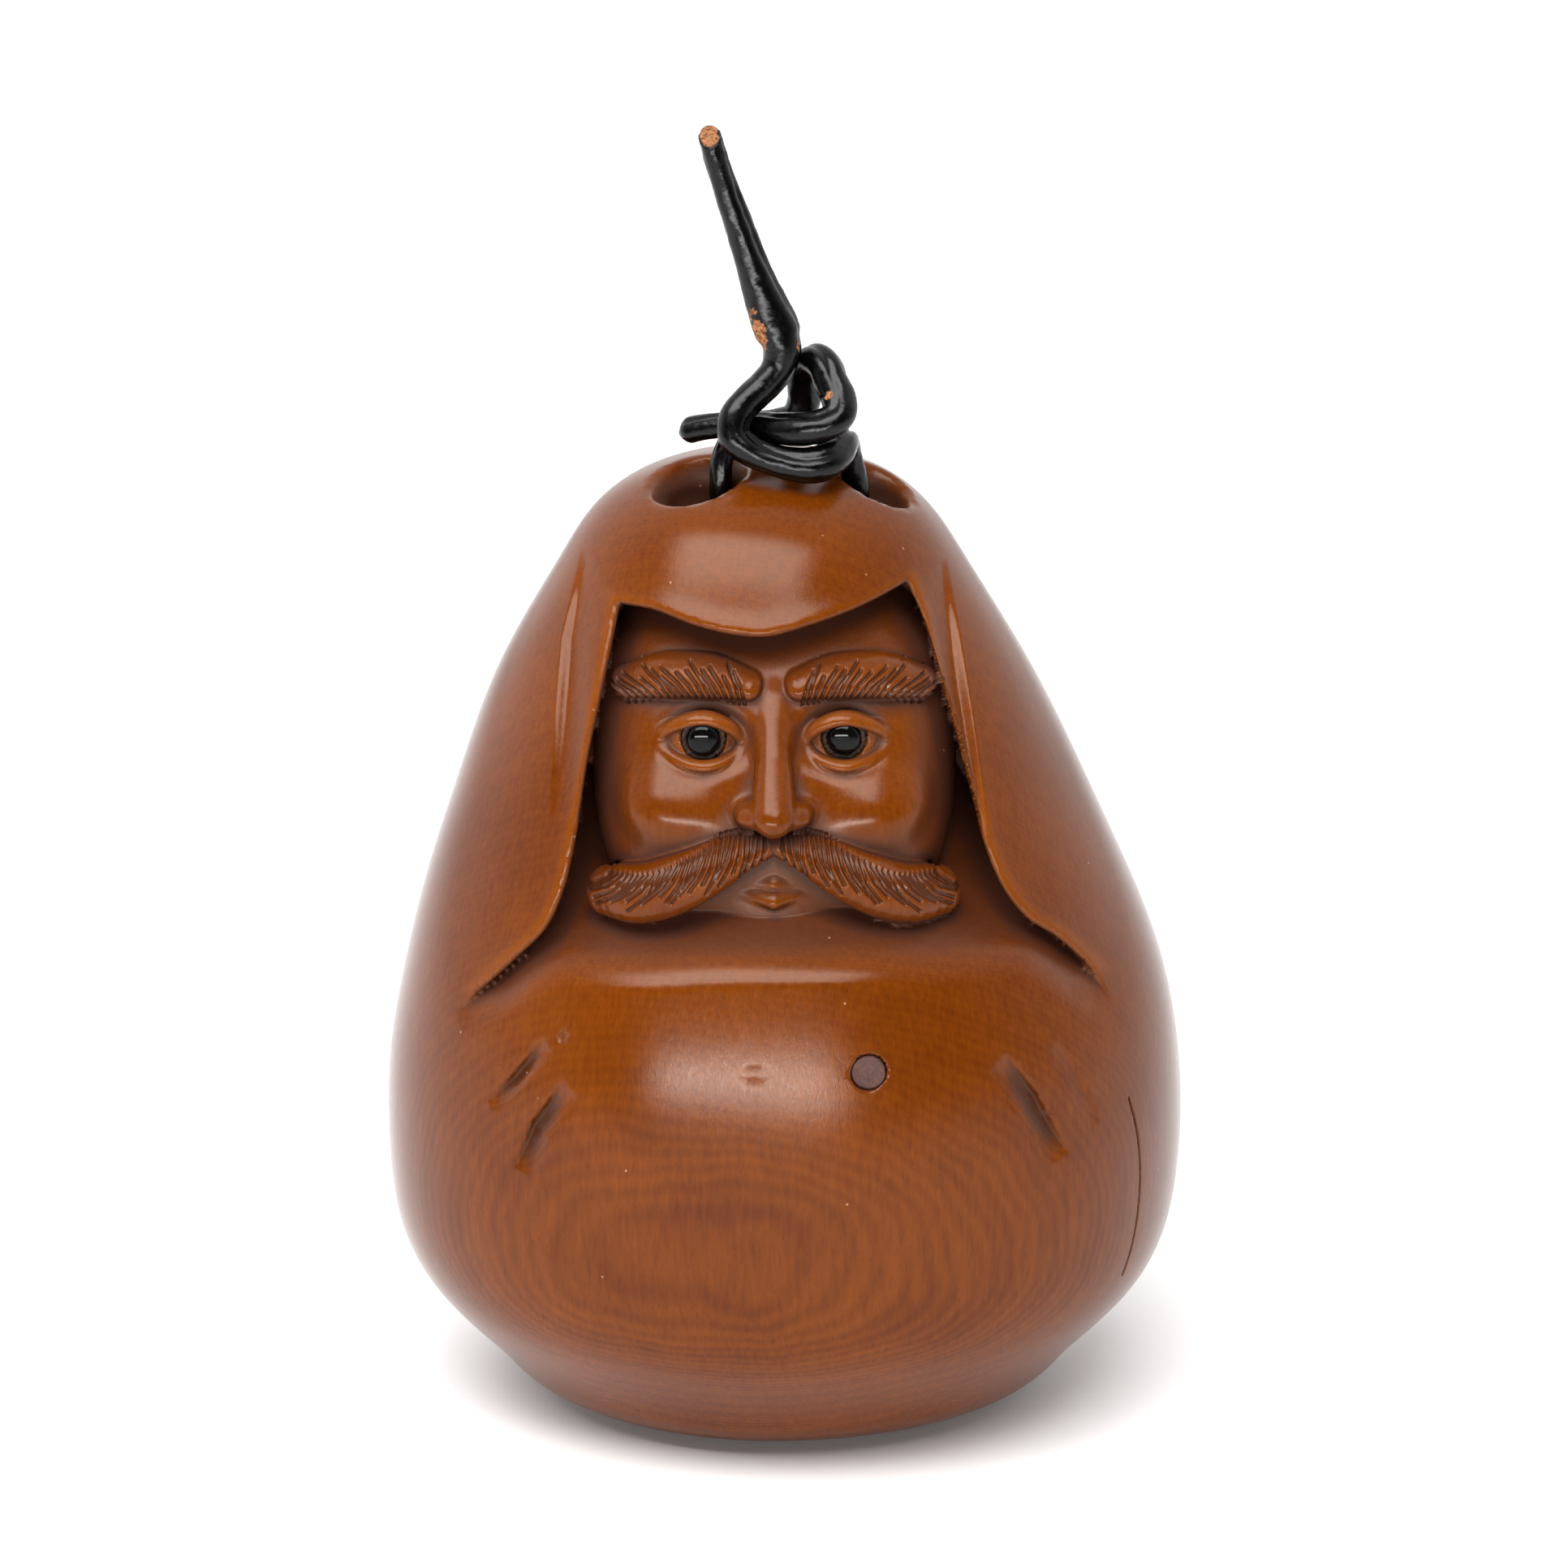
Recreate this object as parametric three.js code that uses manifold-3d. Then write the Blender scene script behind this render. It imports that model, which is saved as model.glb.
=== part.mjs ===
// A small carved boxwood daruma: a seated figure wrapped in a hooded robe, cut from one piece of wood,
// with inlaid pupils, a dowel in the belly and a knotted leather cord through two holes in the crown.
// Millimetres, +Z up, the face looks along -Y, the origin is under the middle of the body.

import * as THREE from 'three';
import { mergeVertices } from 'three/addons/utils/BufferGeometryUtils.js';
import Module from 'manifold-3d';

const wasm = await Module();
wasm.setup();

// ---- Driving dimensions ----

const HEIGHT = 58.5;
const BASE_RADIUS = 12;
const DEPTH_RATIO = 0.92;             // the body is a little shallower than it is wide
const CROWN_LEAN = -1.24;             // sideways drift of the crown, between these heights
const LEAN_START = 24;
const LEAN_END = 50;

const HOOD_RECESS = 2.8;              // how far the face field lies behind the hood's edge
const HOOD_WALL = 3.0;                // width of the slope down from the edge
const HEAD_BULGE = 2.6;
const ROBE_GROOVE = 0.8;

const FACE_X = -0.6;                  // middle line of the face
const CHIN_HEIGHT = 34;
const HEAD_TOP = 55;
const EYE_HEIGHT = (CHIN_HEIGHT + HEAD_TOP) / 2;
const EYE_WIDTH = 4.1;                // a fifth of the face's width
const BROW_HEIGHT = EYE_HEIGHT + 2.9;
const NOSE_BASE = EYE_HEIGHT - 4.6;

const PUPIL_RADIUS = 0.95;
const PEG_RADIUS = 0.55;
const PEG_LENGTH = 2.6;
const BED_RADIUS = 1.3;
const BED_DEPTH = 0.5;
const EYE_HOLLOW = -1.2;
const FIT_GAP = 0.15;

const PLUG_RADIUS = 1.0;
const PLUG_LENGTH = 4;
const PLUG_X = 4.9;
const PLUG_HEIGHT = 26.6;

const CHANNEL_RADIUS = 2;
const MOUTH_RADIUS = 3.15;             // halfway down the flared mouth
const MOUTH_DEPTH = 3.4;
const CORD_SIDES = 8;
const CORD_STEPS = 96;

const BODY_COLUMNS = 68;
const BODY_ROWS = 50;
const FRONT_CROWDING = 0.42;          // draws the columns together towards the face

// ---- Materials ----

const boxwood = new THREE.MeshStandardMaterial({ color: 0xa85a1e, roughness: 0.35, metalness: 0 });
const dowelWood = new THREE.MeshStandardMaterial({ color: 0xa8683a, roughness: 0.6, metalness: 0 });
const horn = new THREE.MeshStandardMaterial({ color: 0x0a0807, roughness: 0.1, metalness: 0 });
const lacquer = new THREE.MeshStandardMaterial({ color: 0x3a1d0c, roughness: 0.7, metalness: 0 });
const leather = new THREE.MeshStandardMaterial({ color: 0x14110f, roughness: 0.4, metalness: 0 });

// ---- Outlines and routes ----

// Half section of the body, radius and height, from the middle of the base to the crown.
const SECTION = new THREE.SplineCurve([
  [BASE_RADIUS, 0], [14.4, 0.7], [17.8, 3.2], [21.9, 7.6], [24, 14], [24, 21], [22.3, 29.2],
  [19.3, 37.4], [15.8, 45.6], [12.1, 52], [8.8, 56.2], [5.1, 57.9], [0, HEIGHT],
].map(([r, z]) => new THREE.Vector2(r, z)));

// The hood's opening seen from the front, x and height, once round from its top left corner.
const HOOD_OPENING = [
  [-9.4, 51.5], [-10.5, 47], [-11.4, 43.4], [-12, 40], [-13, 35.3], [-7.8, 34.1], [0, 32.8],
  [7.8, 34.1], [13, 35.4], [11.6, 38.4], [10.8, 41.4], [9.9, 44.7], [8.8, 48.2], [7.3, 52.3],
  [2.6, 51.2], [-1.7, 50.7], [-5.5, 51.1],
];

// The folds that carry the hood's edge outwards over the shoulders, and the notches in the belly.
const ROBE_GROOVES = [
  [[-13, 35.3], [-15.5, 31.6], [-19, 27.4]],
  [[13, 35.4], [15.6, 32.4], [19.5, 27.1]],
  [[-14.2, 27], [-17.2, 23]],
  [[-13, 24.6], [-15.6, 19.7]],
  [[13.1, 26.3], [16.5, 20.5]],
];

// The face in raised strokes: from, to, half width and height.
const FACE_STROKES = [
  [[FACE_X, BROW_HEIGHT], [FACE_X, NOSE_BASE], 2.2, 1.8],
  ...[-1, 1].flatMap((side) => [
    [[FACE_X + side * 3, EYE_HEIGHT], [FACE_X + side * 5.2, EYE_HEIGHT], 2.6, EYE_HOLLOW],
    [[FACE_X + side * 1.6, BROW_HEIGHT], [FACE_X + side * 7, BROW_HEIGHT + 0.6], 2.2, 1.1],
    [[FACE_X + side * 0.8, NOSE_BASE - 1.4], [FACE_X + side * 5, NOSE_BASE - 3.4], 2.4, 1.3],
    [[FACE_X + side * 5, NOSE_BASE - 3.4], [FACE_X + side * 9.5, CHIN_HEIGHT + 1], 2.4, 1.0],
  ]),
];

// The drilled way under the bridge of wood on the crown, from the left mouth to the right one.
const CHANNEL_ROUTE = [
  [-5.0, -2.6, 57.9], [-4.7, -2.3, 56.3], [-3.3, -2.1, 54.5], [0.2, -1.7, 53.6], [3.7, -1.3, 54.5],
  [5.1, -1.2, 56.2], [5.6, -1.3, 57.8],
];

// The cord from its cut end, down the stub, round the knot, through the crown and back to its tail. The last
// number is its diameter: the leather is thin at its ends and in the drilled way, and swollen in the knot.
const CORD_ROUTE = [
  [-4.5, -2.2, 78.6, 1.5], [-3.6, -2.2, 75.6, 1.6], [-2.7, -2.3, 73, 1.8], [-1.85, -2.5, 70.5, 2],
  [-1.05, -2.7, 68.3, 2.2], [-0.45, -2.9, 66.8, 2.4], [-0.1, -3.05, 65.5, 2.3], [-0.35, -3.3, 64.4, 2],
  [-1.15, -3.7, 63.5, 1.9], [-2.1, -4.15, 62.7, 1.9], [-2.85, -4.65, 61.8, 1.9],
  [-2.85, -5.05, 60.75, 1.9], [-2, -5.3, 60, 1.9], [-0.8, -5.4, 59.5, 1.9], [0.4, -5.45, 59.2, 2.05],
  [1.6, -5.5, 59.15, 2.2], [2.5, -5.2, 59.3, 2.2], [3.15, -4.4, 59.65, 2], [3.5, -3.4, 60, 1.75],
  [3.65, -2.4, 59.8, 1.6], [3.85, -1.7, 58.9, 1.5], [4.15, -1.4, 57.5, 1.5], [4.3, -1.25, 56, 1.5],
  [3.6, -1.35, 54.7, 1.5], [2, -1.5, 53.85, 1.5], [0.2, -1.7, 53.5, 1.5], [-1.7, -1.9, 53.8, 1.5],
  [-3.15, -2.1, 54.8, 1.5], [-3.7, -2.2, 56.1, 1.5], [-3.75, -2.2, 57.5, 1.5], [-3.6, -1.95, 58.8, 1.5],
  [-2.9, -1.4, 59.9, 1.55], [-1.7, -0.6, 60.25, 1.7], [-0.4, -0.15, 60.3, 1.75], [0.7, -0.05, 60.7, 1.8],
  [1.2, -0.4, 61.8, 1.85], [1.2, -0.8, 63, 1.85], [1.35, -1.3, 64.1, 1.85], [1.8, -2.1, 64.7, 1.85],
  [2.35, -2.9, 64.5, 1.85], [2.75, -3.55, 63.7, 1.85], [3.2, -4.1, 62.85, 1.85], [3.2, -4.8, 62, 1.85],
  [2.3, -5.15, 61.45, 1.9], [1.1, -4.95, 61.2, 1.95], [-0.2, -4.35, 61.05, 1.8], [-1.5, -3.45, 61, 1.65],
  [-3, -2.8, 60.9, 1.5], [-4.6, -2.2, 60.6, 1.5], [-6.1, -1.6, 60.15, 1.5],
];

// ---- Small helpers ----

const toVector = ([x, y, z]) => new THREE.Vector3(x, y, z);
const smoothstep = THREE.MathUtils.smoothstep;

function leanAt(z) {
  return CROWN_LEAN * smoothstep(z, LEAN_START, LEAN_END);
}

function distanceToSegment(x, z, [ax, az], [bx, bz]) {
  const lengthSquared = (bx - ax) ** 2 + (bz - az) ** 2;
  const along = ((x - ax) * (bx - ax) + (z - az) * (bz - az)) / lengthSquared;
  const t = THREE.MathUtils.clamp(along, 0, 1);
  return Math.hypot(x - ax - t * (bx - ax), z - az - t * (bz - az));
}

// Distance to the outline for a point inside it, and 0 for a point outside.
function depthInsideOutline(x, z, outline) {
  let inside = false;
  let nearest = Infinity;
  outline.forEach((a, i) => {
    const b = outline[(i + 1) % outline.length];
    nearest = Math.min(nearest, distanceToSegment(x, z, a, b));
    if (a[1] > z !== b[1] > z && x < a[0] + ((z - a[1]) * (b[0] - a[0])) / (b[1] - a[1])) inside = !inside;
  });
  return inside ? nearest : 0;
}

// A raised or sunk stroke with soft flanks around a line.
function stroke(x, z, from, to, halfWidth, height) {
  return height * (1 - smoothstep(distanceToSegment(x, z, from, to), 0, halfWidth));
}

// How far the carving moves the front of the body outwards, towards -Y. Negative is cut in.
function carving(x, z) {
  let out = 0;
  const depth = depthInsideOutline(x, z, HOOD_OPENING);
  if (depth > 0) {
    out -= HOOD_RECESS * smoothstep(depth, 0, HOOD_WALL);
    const across = (x - FACE_X) / 9.5;
    const up = (z - EYE_HEIGHT + 1) / 10.5;
    out += HEAD_BULGE * Math.sqrt(Math.max(0, 1 - across ** 2 - up ** 2));
    for (const [from, to, halfWidth, height] of FACE_STROKES) {
      out += stroke(x, z, from, to, halfWidth, height) * smoothstep(depth, 0, HOOD_WALL);
    }
  }
  for (const groove of ROBE_GROOVES) {
    groove.slice(1).forEach((to, i) => {
      out = Math.min(out, out - stroke(x, z, groove[i], to, 1.4, ROBE_GROOVE));
    });
  }
  return out;
}

// The uncarved body's half width at a height.
const sectionSamples = SECTION.getPoints(400);
function sectionRadius(z) {
  const next = sectionSamples.findIndex((p) => p.y > z);
  const a = sectionSamples[next - 1];
  const b = sectionSamples[next];
  return a.x + ((b.x - a.x) * (z - a.y)) / (b.y - a.y);
}

// Where the carved front lies at a place seen from the front.
function frontSurface(x, z) {
  const smooth = -DEPTH_RATIO * Math.sqrt(sectionRadius(z) ** 2 - (x - leanAt(z)) ** 2);
  return smooth - carving(x, z);
}

function toSolid(geometry) {
  const bare = geometry.clone();
  bare.deleteAttribute('normal');
  bare.deleteAttribute('uv');
  const merged = mergeVertices(bare, 1e-4);
  const triangles = [];
  for (let i = 0; i < merged.index.count; i += 3) {
    const [a, b, c] = [0, 1, 2].map((k) => merged.index.getX(i + k));
    if (a !== b && b !== c && c !== a) triangles.push(a, b, c);
  }
  const vertProperties = new Float32Array(merged.attributes.position.array);
  const triVerts = new Uint32Array(triangles);
  return new wasm.Manifold(new wasm.Mesh({ numProp: 3, vertProperties, triVerts }));
}

function toGeometry(solid) {
  const { vertProperties, triVerts } = solid.getMesh();
  const geometry = new THREE.BufferGeometry();
  geometry.setAttribute('position', new THREE.BufferAttribute(vertProperties, 3));
  geometry.setIndex(new THREE.BufferAttribute(triVerts, 1));
  geometry.computeVertexNormals();
  return geometry;
}

function tube(route, radius, sides, steps) {
  const section = new THREE.Shape();
  section.absarc(0, 0, radius, 0, Math.PI * 2);
  const extrudePath = new THREE.CatmullRomCurve3(route.map(toVector), false, 'centripetal');
  return new THREE.ExtrudeGeometry(section, { steps, extrudePath, curveSegments: sides / 2 });
}

// A tube round the route whose thickness follows the route's own diameters.
function cordGeometry() {
  const path = new THREE.CatmullRomCurve3(CORD_ROUTE.map(toVector), false, 'centripetal');
  path.arcLengthDivisions = 2000;
  const frames = path.computeFrenetFrames(CORD_STEPS, false);
  const positions = [];
  const indices = [];
  for (let i = 0; i <= CORD_STEPS; i += 1) {
    const centre = path.getPointAt(i / CORD_STEPS);
    const place = path.getUtoTmapping(i / CORD_STEPS) * (CORD_ROUTE.length - 1);
    const before = Math.min(Math.floor(place), CORD_ROUTE.length - 2);
    const diameter = THREE.MathUtils.lerp(CORD_ROUTE[before][3], CORD_ROUTE[before + 1][3], place - before);
    for (let k = 0; k < CORD_SIDES; k += 1) {
      const angle = (k * 2 * Math.PI) / CORD_SIDES;
      const spot = centre.clone();
      spot.addScaledVector(frames.normals[i], (Math.cos(angle) * diameter) / 2);
      spot.addScaledVector(frames.binormals[i], (Math.sin(angle) * diameter) / 2);
      positions.push(spot.x, spot.y, spot.z);
      if (i < CORD_STEPS) {
        const a = i * CORD_SIDES + k;
        const b = i * CORD_SIDES + ((k + 1) % CORD_SIDES);
        indices.push(a, b, b + CORD_SIDES, a, b + CORD_SIDES, a + CORD_SIDES);
      }
    }
  }
  const lastRing = CORD_STEPS * CORD_SIDES;
  for (let k = 1; k < CORD_SIDES - 1; k += 1) {
    indices.push(0, k + 1, k);
    indices.push(lastRing, lastRing + k, lastRing + k + 1);
  }
  const geometry = new THREE.BufferGeometry();
  geometry.setAttribute('position', new THREE.Float32BufferAttribute(positions, 3));
  geometry.setIndex(indices);
  geometry.computeVertexNormals();
  return geometry;
}

// A turned piece whose profile is radius and distance along its axis; the axis ends up along -Y.
function turned(profile, segments) {
  const points = profile.map(([r, along]) => new THREE.Vector2(r, along));
  return new THREE.LatheGeometry(points, segments).rotateX(Math.PI);
}

// ---- Pieces ----

function blankGeometry() {
  const rows = SECTION.getSpacedPoints(BODY_ROWS);
  const blank = new THREE.LatheGeometry([new THREE.Vector2(0, 0), ...rows], BODY_COLUMNS);
  blank.rotateX(Math.PI / 2);
  const position = blank.attributes.position;
  for (let i = 0; i < position.count; i += 1) {
    const radius = Math.hypot(position.getX(i), position.getY(i));
    const height = position.getZ(i);
    const evenAngle = Math.atan2(position.getX(i), -position.getY(i));
    const angle = evenAngle - FRONT_CROWDING * Math.sin(evenAngle);
    const x = radius * Math.sin(angle) + leanAt(height);
    const y = -DEPTH_RATIO * radius * Math.cos(angle);
    const cut = y < 0 && radius > BASE_RADIUS / 2 ? carving(x, height) : 0;
    position.setXYZ(i, x, y - cut, height);
  }
  return blank;
}

function cordChannel() {
  const channel = toSolid(tube(CHANNEL_ROUTE, CHANNEL_RADIUS, 12, 16));
  return [[0, 1], [CHANNEL_ROUTE.length - 1, CHANNEL_ROUTE.length - 2]].reduce((cut, [end, next]) => {
    const mouth = toVector(CHANNEL_ROUTE[end]);
    const outwards = mouth.clone().sub(toVector(CHANNEL_ROUTE[next])).normalize();
    const flare = MOUTH_RADIUS - CHANNEL_RADIUS;
    const funnel = new THREE.CylinderGeometry(MOUTH_RADIUS + flare, CHANNEL_RADIUS, MOUTH_DEPTH, 20);
    funnel.applyQuaternion(new THREE.Quaternion().setFromUnitVectors(new THREE.Vector3(0, 1, 0), outwards));
    funnel.translate(mouth.x, mouth.y, mouth.z);
    return cut.add(toSolid(funnel));
  }, channel);
}

function pupilGeometry() {
  return turned([
    [0, -PEG_LENGTH], [PEG_RADIUS, -PEG_LENGTH], [PEG_RADIUS, 0], [PUPIL_RADIUS, 0],
    [PUPIL_RADIUS * 0.95, 0.2], [PUPIL_RADIUS * 0.75, 0.4], [PUPIL_RADIUS * 0.4, 0.52], [0, 0.55],
  ], 16);
}

function bedGeometry() {
  const inner = PUPIL_RADIUS + FIT_GAP;
  return turned([
    [inner, -BED_DEPTH], [BED_RADIUS, -BED_DEPTH], [BED_RADIUS, 0.02], [inner, 0.1], [inner, -BED_DEPTH],
  ], 16);
}

function socketSolid() {
  return toSolid(turned([
    [0, -PEG_LENGTH - 0.4], [PEG_RADIUS + FIT_GAP, -PEG_LENGTH - 0.4],
    [PEG_RADIUS + FIT_GAP, -BED_DEPTH - FIT_GAP],
    [BED_RADIUS + FIT_GAP, -BED_DEPTH - FIT_GAP], [BED_RADIUS + FIT_GAP, 3], [0, 3],
  ], 16));
}

function dowelGeometry(radius, back, front) {
  return turned([[0, back], [radius, back], [radius, front], [0, front]], 16);
}

// ---- Assembly ----

const daruma = new THREE.Group();

function addPiece(name, geometry, material, place = [0, 0, 0]) {
  const mesh = new THREE.Mesh(geometry, material);
  mesh.name = name;
  mesh.position.set(...place);
  daruma.add(mesh);
}

const eyePlaces = { left: -1, right: 1 };
let body = toSolid(blankGeometry()).subtract(cordChannel());
for (const [side, sign] of Object.entries(eyePlaces)) {
  const x = FACE_X + sign * EYE_WIDTH;
  const place = [x, frontSurface(x, EYE_HEIGHT) + 0.1, EYE_HEIGHT];
  body = body.subtract(socketSolid().translate(place));
  addPiece(`${side}_pupil`, pupilGeometry(), horn, place);
  addPiece(`${side}_pupil_bed`, bedGeometry(), lacquer, place);
}

const plugPlace = [PLUG_X, frontSurface(PLUG_X, PLUG_HEIGHT), PLUG_HEIGHT];
const plugSocket = toSolid(dowelGeometry(PLUG_RADIUS + FIT_GAP, -PLUG_LENGTH - FIT_GAP, 2));
body = body.subtract(plugSocket.translate(plugPlace));
addPiece('belly_plug', dowelGeometry(PLUG_RADIUS, -PLUG_LENGTH, 0.05), dowelWood, plugPlace);

addPiece('carved_body', toGeometry(body), boxwood);
addPiece('cord', cordGeometry(), leather);

export default daruma;
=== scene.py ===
"""A polished boxwood daruma of the toggle kind, with a knotted leather cord through its crown.

Lengths in this file are millimetres, turned into metres (MM) when a mesh or a place is made.
The carved body is worked out as a distance field, meshed, refined where the carving is fine
and moved onto the exact surface. The frame is the CAD one: +Z up, the face looks along -Y.
"""

import math

import bmesh
import bpy
import numpy as np
import openvdb
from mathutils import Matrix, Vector, noise


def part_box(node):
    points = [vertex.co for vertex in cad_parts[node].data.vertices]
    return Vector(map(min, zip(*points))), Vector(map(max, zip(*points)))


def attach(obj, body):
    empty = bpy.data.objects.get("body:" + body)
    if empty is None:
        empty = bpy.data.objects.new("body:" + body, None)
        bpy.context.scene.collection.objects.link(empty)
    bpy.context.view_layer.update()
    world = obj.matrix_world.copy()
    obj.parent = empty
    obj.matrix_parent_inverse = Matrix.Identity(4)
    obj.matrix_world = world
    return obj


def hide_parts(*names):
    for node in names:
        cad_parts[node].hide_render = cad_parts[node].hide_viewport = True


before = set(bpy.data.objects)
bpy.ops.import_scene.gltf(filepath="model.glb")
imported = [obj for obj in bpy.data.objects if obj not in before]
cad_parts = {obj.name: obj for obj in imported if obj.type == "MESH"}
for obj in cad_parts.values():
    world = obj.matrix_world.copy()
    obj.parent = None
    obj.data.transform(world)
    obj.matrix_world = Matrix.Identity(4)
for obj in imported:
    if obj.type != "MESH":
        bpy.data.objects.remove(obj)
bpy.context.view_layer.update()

MM = 0.001

# ---- Driving sizes, as in the frame ----

HEIGHT = 58.5
DEPTH_RATIO = 0.92                    # front to back, as a share of the width
CROWN_LEAN = -1.24                    # how far the crown leans to one side, between these heights
LEAN_HEIGHTS = (24, 50)
FACE_X = -0.6
CHIN_HEIGHT = 34.0
HEAD_TOP = 55.0
EYE_HEIGHT = (CHIN_HEIGHT + HEAD_TOP) / 2
EYE_WIDTH = 4.1                       # from the face's middle line to an eye's middle
BROW_HEIGHT = EYE_HEIGHT + 2.9
NOSE_BASE = EYE_HEIGHT - 4.6
FACE_DEPTH = 5.0                      # how deep the hood is cut
BELLY_ROLL = 3.6                      # how gently the belly rolls in under the chin, and its start
BELLY_ROLL_START = 1.6
EYE_BACK = -4.1                       # depths from the body's front line
EYE_FLOOR = -2.9
BED_RADIUS = 1.3
PUPIL_RADIUS = 0.95
PLUG_RADIUS = 1.0
CHANNEL_RADIUS = 2.0
MOUTH_RADIUS = 4.45                   # of a cord hole's funnel, and of its part that is worn forwards
WORN_MOUTH_RADIUS = 4.4

FIELD_LOW, FIELD_HIGH = (-26.1, -24.0, -1.5), (26.1, 24.0, 60.5)
VOXEL = 0.38
ROPE_REACH = 3.0                      # how far from its box a rope's distance is still worked out
LATTICE_PITCH = 0.1

# Half section of the body: radius and height.
SECTION = [
    (12, 0), (14.4, 0.7), (17.8, 3.2), (21.9, 7.6), (24, 14), (24, 21), (22.3, 29.2),
    (19.3, 37.4), (15.8, 45.6), (12.1, 52), (8.8, 56.2), (5.1, 57.9), (0, HEIGHT),
]

# The hood's edge seen from the front, as x and height, from shoulder to shoulder over the brow.
HOOD_EDGE = [
    (-19.0, 27.6), (-17.4, 29.4), (-15.6, 31.4), (-13.9, 33.4), (-12.9, 35.6), (-12.3, 38.0),
    (-11.9, 40.2), (-11.4, 43.4), (-10.6, 46.9), (-9.6, 51.4),
    (-7.6, 51.4), (-5.5, 50.9), (-3.2, 50.5), (-1.0, 50.4), (1.4, 50.9), (4.2, 51.6), (7.2, 52.5),
    (8.2, 50.3), (9.0, 47.6), (9.9, 44.7), (10.9, 41.2), (11.7, 38.2), (12.8, 35.6), (14.3, 33.6),
    (16.0, 32.2), (17.8, 30.2), (19.3, 28.0),
]

# Where the belly rolls in under the chin, from the left shoulder to the right one.
BELLY_TOP = [
    (-19.0, 27.6), (-16.8, 29.4), (-14.8, 31.2), (-13.0, 32.0), (-10.4, 32.2), (-8.0, 32.4),
    (-4.0, 32.9), (0.4, 33.1), (5.2, 33.0), (8.6, 32.6), (12.0, 32.4), (14.3, 32.2), (15.8, 31.3),
    (17.4, 29.8), (19.3, 28.0),
]


# ---- Distance field helpers: points are rows of x, y, z ----

def smooth_min(a, b, reach):
    mix = np.clip(0.5 + 0.5 * (b - a) / reach, 0, 1)
    return b + (a - b) * mix - reach * mix * (1 - mix)


def smooth_max(a, b, reach):
    return -smooth_min(-a, -b, reach)


def ramp(x, low, high):
    t = np.clip((x - low) / (high - low), 0, 1)
    return t * t * (3 - 2 * t)


def ball(p, centre, radii):
    radii = np.asarray(radii, float)
    q = (p - np.asarray(centre, float)) / radii
    k0 = np.sqrt(np.einsum("ij,ij->i", q, q))
    q /= radii
    k1 = np.sqrt(np.einsum("ij,ij->i", q, q))
    return k0 * (k0 - 1) / np.maximum(k1, 1e-6)


def rope(p, points, radii):
    """A tapering round line through points. Past ROPE_REACH from its box it only says far away."""
    points = np.asarray(points, float)
    margin = max(radii) + ROPE_REACH
    close = ((p > points.min(axis=0) - margin) & (p < points.max(axis=0) + margin)).all(axis=1)
    distance = np.full(len(p), float(ROPE_REACH))
    near = p[close]
    nearest = np.full(len(near), float(ROPE_REACH))
    for a, b, ra, rb in zip(points[:-1], points[1:], radii[:-1], radii[1:]):
        span = b - a
        q = near - a
        t = np.clip(q @ span / (span @ span), 0, 1)
        q -= t[:, None] * span
        away = np.sqrt(np.einsum("ij,ij->i", q, q)) - (ra + (rb - ra) * t)
        nearest = np.minimum(nearest, away)
    distance[close] = nearest
    return distance


def curve_through(points, steps, closed=False):
    """Centripetal Catmull-Rom curve through points, with its ends mirrored."""
    points = np.asarray(points, float)
    padded = np.vstack([2 * points[0] - points[1], points, 2 * points[-1] - points[-2]])
    out = []
    for p0, p1, p2, p3 in zip(padded[:-3], padded[1:-2], padded[2:-1], padded[3:]):
        d0, d1, d2 = (math.sqrt(np.linalg.norm(b - a)) for a, b in ((p0, p1), (p1, p2), (p2, p3)))
        t1 = ((p1 - p0) / d0 - (p2 - p0) / (d0 + d1) + (p2 - p1) / d1) * d1
        t2 = ((p2 - p1) / d1 - (p3 - p1) / (d1 + d2) + (p3 - p2) / d2) * d1
        square = 3 * (p2 - p1) - 2 * t1 - t2
        cube = 2 * (p1 - p2) + t1 + t2
        for t in np.arange(steps) / steps:
            out.append(p1 + t1 * t + square * t * t + cube * t ** 3)
    out.append(points[-1])
    return np.array(out)


def polyline_distance(x, z, line):
    nearest = np.full(x.shape, np.inf)
    for (ax, az), (bx, bz) in zip(line[:-1], line[1:]):
        dx, dz = bx - ax, bz - az
        t = np.clip(((x - ax) * dx + (z - az) * dz) / (dx * dx + dz * dz), 0, 1)
        nearest = np.minimum(nearest, np.hypot(x - ax - t * dx, z - az - t * dz))
    return nearest


def inside_outline(x, z, outline):
    inside = np.zeros(x.shape, bool)
    for (ax, az), (bx, bz) in zip(outline, np.roll(outline, -1, axis=0)):
        if az == bz:
            continue
        crosses = ((az > z) != (bz > z)) & (x < ax + (z - az) * (bx - ax) / (bz - az))
        inside ^= crosses
    return inside


def box_of(node):
    """A CAD node's low corner, high corner and middle, in millimetres."""
    low, high = (Vector(corner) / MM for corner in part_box(node))
    return low, high, (low + high) / 2


_, PLUG_HIGH, PLUG = box_of("belly_plug")


def from_plug(x, z):
    """The distance from the plug's middle line."""
    return np.hypot(x - PLUG.x, z - PLUG.z)


def lean_at(z):
    return CROWN_LEAN * ramp(z, *LEAN_HEIGHTS)


def squared_section():
    """Radius squared by height as a natural cubic spline: its knots, values and bends."""
    z = np.array([height for radius, height in SECTION], float)
    value = np.array([radius ** 2 for radius, height in SECTION], float)
    step = np.diff(z)
    rise = np.diff(value) / step
    count = len(z)
    system = np.eye(count)
    target = np.zeros(count)
    for i in range(1, count - 1):
        system[i, i - 1:i + 2] = step[i - 1], 2 * (step[i - 1] + step[i]), step[i]
        target[i] = 6 * (rise[i] - rise[i - 1])
    return z, value, np.linalg.solve(system, target)


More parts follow.
